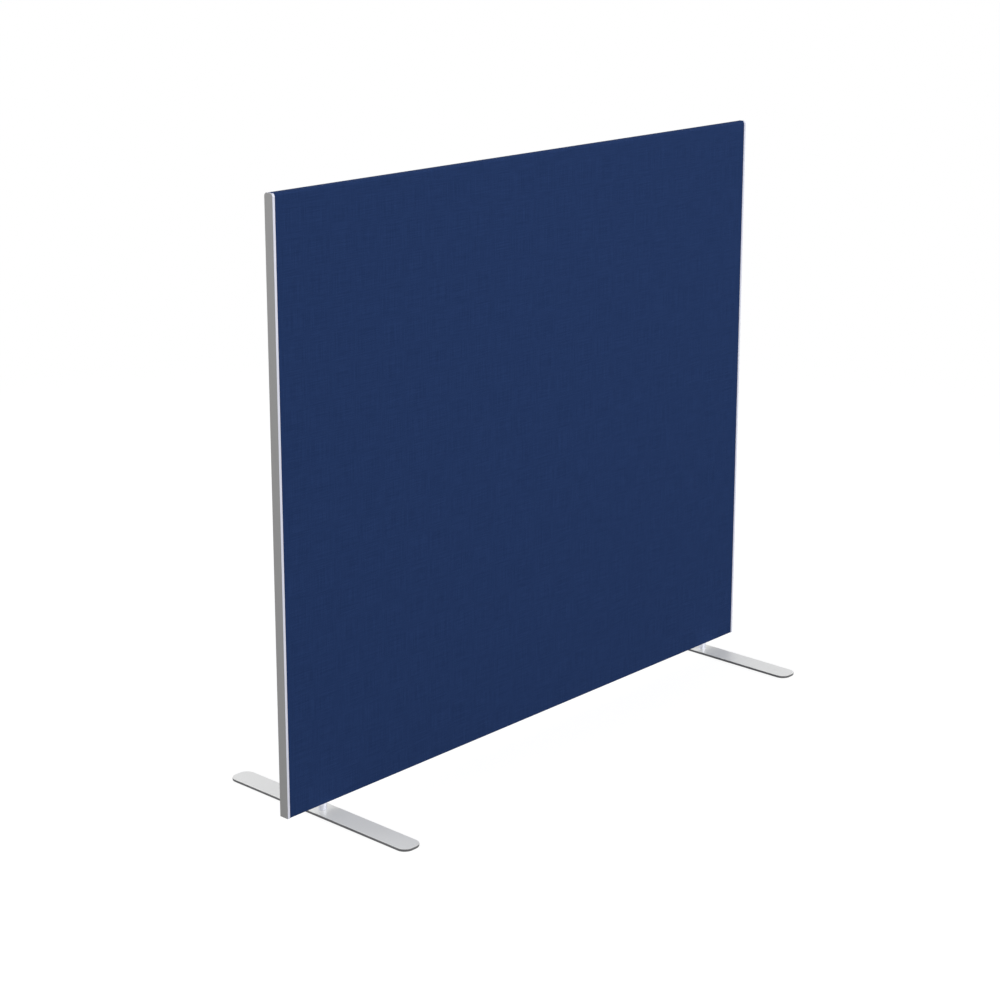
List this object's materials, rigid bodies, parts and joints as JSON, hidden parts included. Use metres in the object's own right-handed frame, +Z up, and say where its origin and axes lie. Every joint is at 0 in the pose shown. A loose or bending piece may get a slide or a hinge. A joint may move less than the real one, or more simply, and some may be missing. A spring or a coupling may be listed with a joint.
{
  "type": "acoustic divider screen",
  "caption": "Free-standing fabric-covered acoustic screen with silver edge trims, on flat bar feet that swivel in line with the panel for storage.",
  "frame": {"origin": "on the floor, below the middle of the panel", "axes": "+X along the panel's width, -Y towards its front, +Z up"},
  "size_m": [1.4, 0.5, 1.2215],
  "materials": {
    "timber": "planed softwood, unfinished",
    "dowel_wood": "fluted beech dowel",
    "fibre_slab": "compressed mineral fibre slab",
    "felt": "needled polyester felt",
    "cover_fabric": "plain woven navy polyester, matt",
    "aluminium_trim": "extruded, satin silver anodised",
    "cap_plastic": "moulded, silver",
    "zinc_steel": "bright zinc plated",
    "silver_steel": "fine silver powder coat",
    "post_metal": "turned and satin finished",
    "nylon": "natural white nylon",
    "pad_rubber": "black rubber"
  },
  "bodies": {
    "panel": {"frame_top_rail": "timber", "frame_bottom_rail": "timber", "frame_left_stile": "timber", "frame_centre_stile": "timber", "frame_right_stile": "timber", "frame_dowels": "dowel_wood", "infill_left": "fibre_slab", "infill_right": "fibre_slab", "front_facing": "felt", "back_facing": "felt", "fabric_cover": "cover_fabric", "hem_staples": "zinc_steel", "left_edge_profile": "aluminium_trim", "right_edge_profile": "aluminium_trim", "left_top_cap": "cap_plastic", "right_top_cap": "cap_plastic", "left_fixing_strip": "zinc_steel", "right_fixing_strip": "zinc_steel", "fixing_strip_screws": "zinc_steel", "left_press_nut": "zinc_steel", "right_press_nut": "zinc_steel", "left_foot_bolt": "zinc_steel", "right_foot_bolt": "zinc_steel", "left_swivel_washer": "nylon", "right_swivel_washer": "nylon"},
    "left_foot": {"left_foot_plate": "silver_steel", "left_foot_post": "post_metal", "left_foot_pads": "pad_rubber"},
    "right_foot": {"right_foot_plate": "silver_steel", "right_foot_post": "post_metal", "right_foot_pads": "pad_rubber"}
  },
  "joints": [
    {"name": "left_foot_swivel", "type": "hinge", "parent": "panel", "child": "left_foot", "pos_m": [-0.6, 0, 0.0205], "axis": [0, 0, 1], "range_deg": [-90, 90]},
    {"name": "right_foot_swivel", "type": "hinge", "parent": "panel", "child": "right_foot", "pos_m": [0.6, 0, 0.0205], "axis": [0, 0, 1], "range_deg": [-90, 90]}
  ]
}
